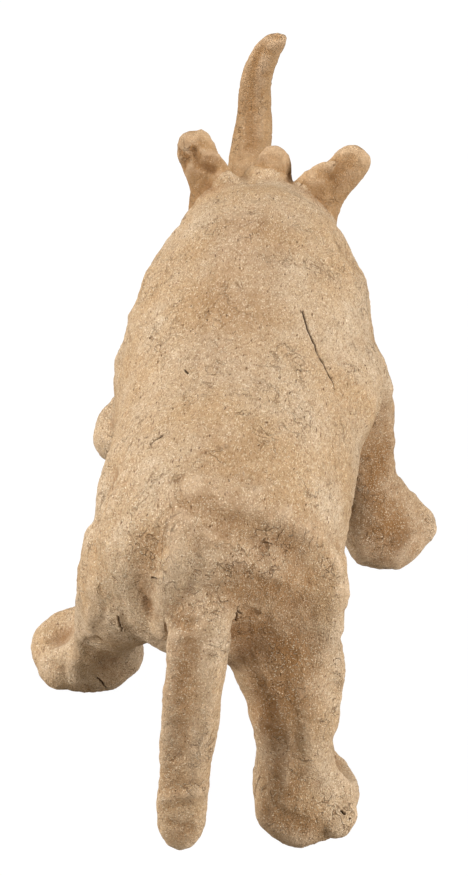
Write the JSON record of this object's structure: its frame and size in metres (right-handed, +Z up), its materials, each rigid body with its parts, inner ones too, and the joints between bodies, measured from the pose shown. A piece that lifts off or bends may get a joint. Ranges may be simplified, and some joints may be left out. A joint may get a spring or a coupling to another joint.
{
  "type": "papier mache rhinoceros figure",
  "caption": "Standing rhinoceros figure of moulded kraft paper pulp, with horns, ears, splayed feet and a thick hanging tail.",
  "frame": {"origin": "on the ground, under the middle of the figure's bounding box", "axes": "+Z up, the animal faces -Y, its left side is +X, its length runs along Y"},
  "size_m": [0.1161, 0.2468, 0.115],
  "materials": {
    "pulp": "matte moulded kraft pulp, fibrous",
    "leg": "matte moulded kraft pulp, creased",
    "horn": "rolled and pasted kraft paper",
    "strip": "pasted strips of kraft paper",
    "sole": "flat card discs"
  },
  "bodies": {
    "root": {"belly_strip": "strip", "brow_horn": "horn", "chin_strip": "strip", "front_left_leg": "leg", "front_left_sole": "sole", "front_left_wrap": "strip", "front_right_leg": "leg", "front_right_sole": "sole", "front_right_wrap": "strip", "head_shell_left": "pulp", "head_shell_right": "pulp", "left_ear": "horn", "left_eye": "leg", "neck_wrap": "strip", "nose_horn": "horn", "rear_left_leg": "leg", "rear_left_sole": "sole", "rear_left_wrap": "strip", "rear_right_leg": "leg", "rear_right_sole": "sole", "rear_right_wrap": "strip", "right_ear": "horn", "right_eye": "leg", "spine_strip": "strip", "tail": "horn", "tail_wrap": "strip", "torso_shell_left": "pulp", "torso_shell_right": "pulp"}
  },
  "joints": []
}
